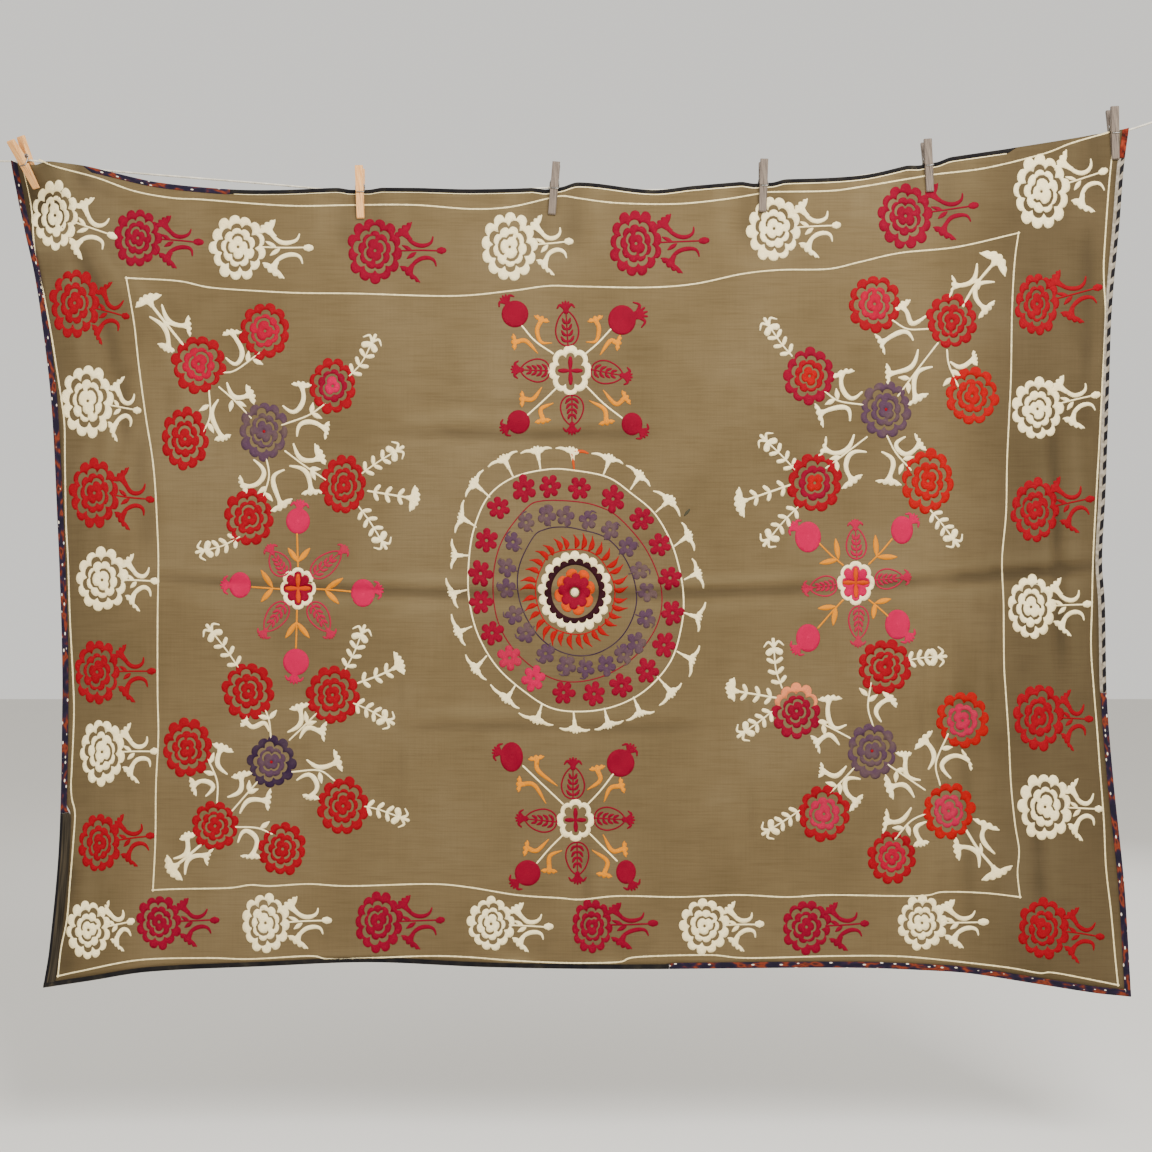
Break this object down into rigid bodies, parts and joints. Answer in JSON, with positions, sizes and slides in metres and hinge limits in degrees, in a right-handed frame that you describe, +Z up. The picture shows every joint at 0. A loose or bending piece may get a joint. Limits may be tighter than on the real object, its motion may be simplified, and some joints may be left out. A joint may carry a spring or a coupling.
{
  "type": "suzani embroidered cloth with its clothesline and pegs",
  "caption": "Wide embroidered cotton hanging with a printed and braided edging, held along its top edge by sprung wooden pegs on a taut line.",
  "frame": {"origin": "on the axis of the clothesline, at the middle of its span", "axes": "+X along the line to the right, -Y towards the viewer of the embroidered face, +Z up"},
  "size_m": [1.7994, 0.0655, 1.2973],
  "materials": {
    "cotton_ground": "plain woven cotton, matt",
    "print_edging": "printed cotton, matt",
    "dark_edging": "black cotton, matt",
    "braid_edging": "striped woven braid",
    "cotton_line": "twisted cord",
    "pine": "bare pine",
    "weathered_wood": "weathered bare wood",
    "spring_wire": "dull galvanised wire"
  },
  "bodies": {
    "root": {"cloth": "cotton_ground", "edging_left_print": "print_edging", "edging_left_dark": "dark_edging", "edging_right_corner": "print_edging", "edging_right_braid": "braid_edging", "edging_right_print": "print_edging", "edging_bottom_dark": "dark_edging", "edging_bottom_print": "print_edging", "edging_top_print": "print_edging", "edging_top_piping": "dark_edging", "line": "cotton_line", "knot_left": "cotton_line", "knot_right": "cotton_line", "loop_left": "cotton_line", "loop_right": "cotton_line", "peg_1_leg_front": "pine", "peg_1_leg_back": "pine", "peg_1_spring": "spring_wire", "peg_2_leg_front": "pine", "peg_2_leg_back": "pine", "peg_2_spring": "spring_wire", "peg_3_leg_front": "weathered_wood", "peg_3_leg_back": "weathered_wood", "peg_3_spring": "spring_wire", "peg_4_leg_front": "weathered_wood", "peg_4_leg_back": "weathered_wood", "peg_4_spring": "spring_wire", "peg_5_leg_front": "weathered_wood", "peg_5_leg_back": "weathered_wood", "peg_5_spring": "spring_wire", "peg_6_leg_front": "weathered_wood", "peg_6_leg_back": "weathered_wood", "peg_6_spring": "spring_wire"}
  },
  "joints": []
}
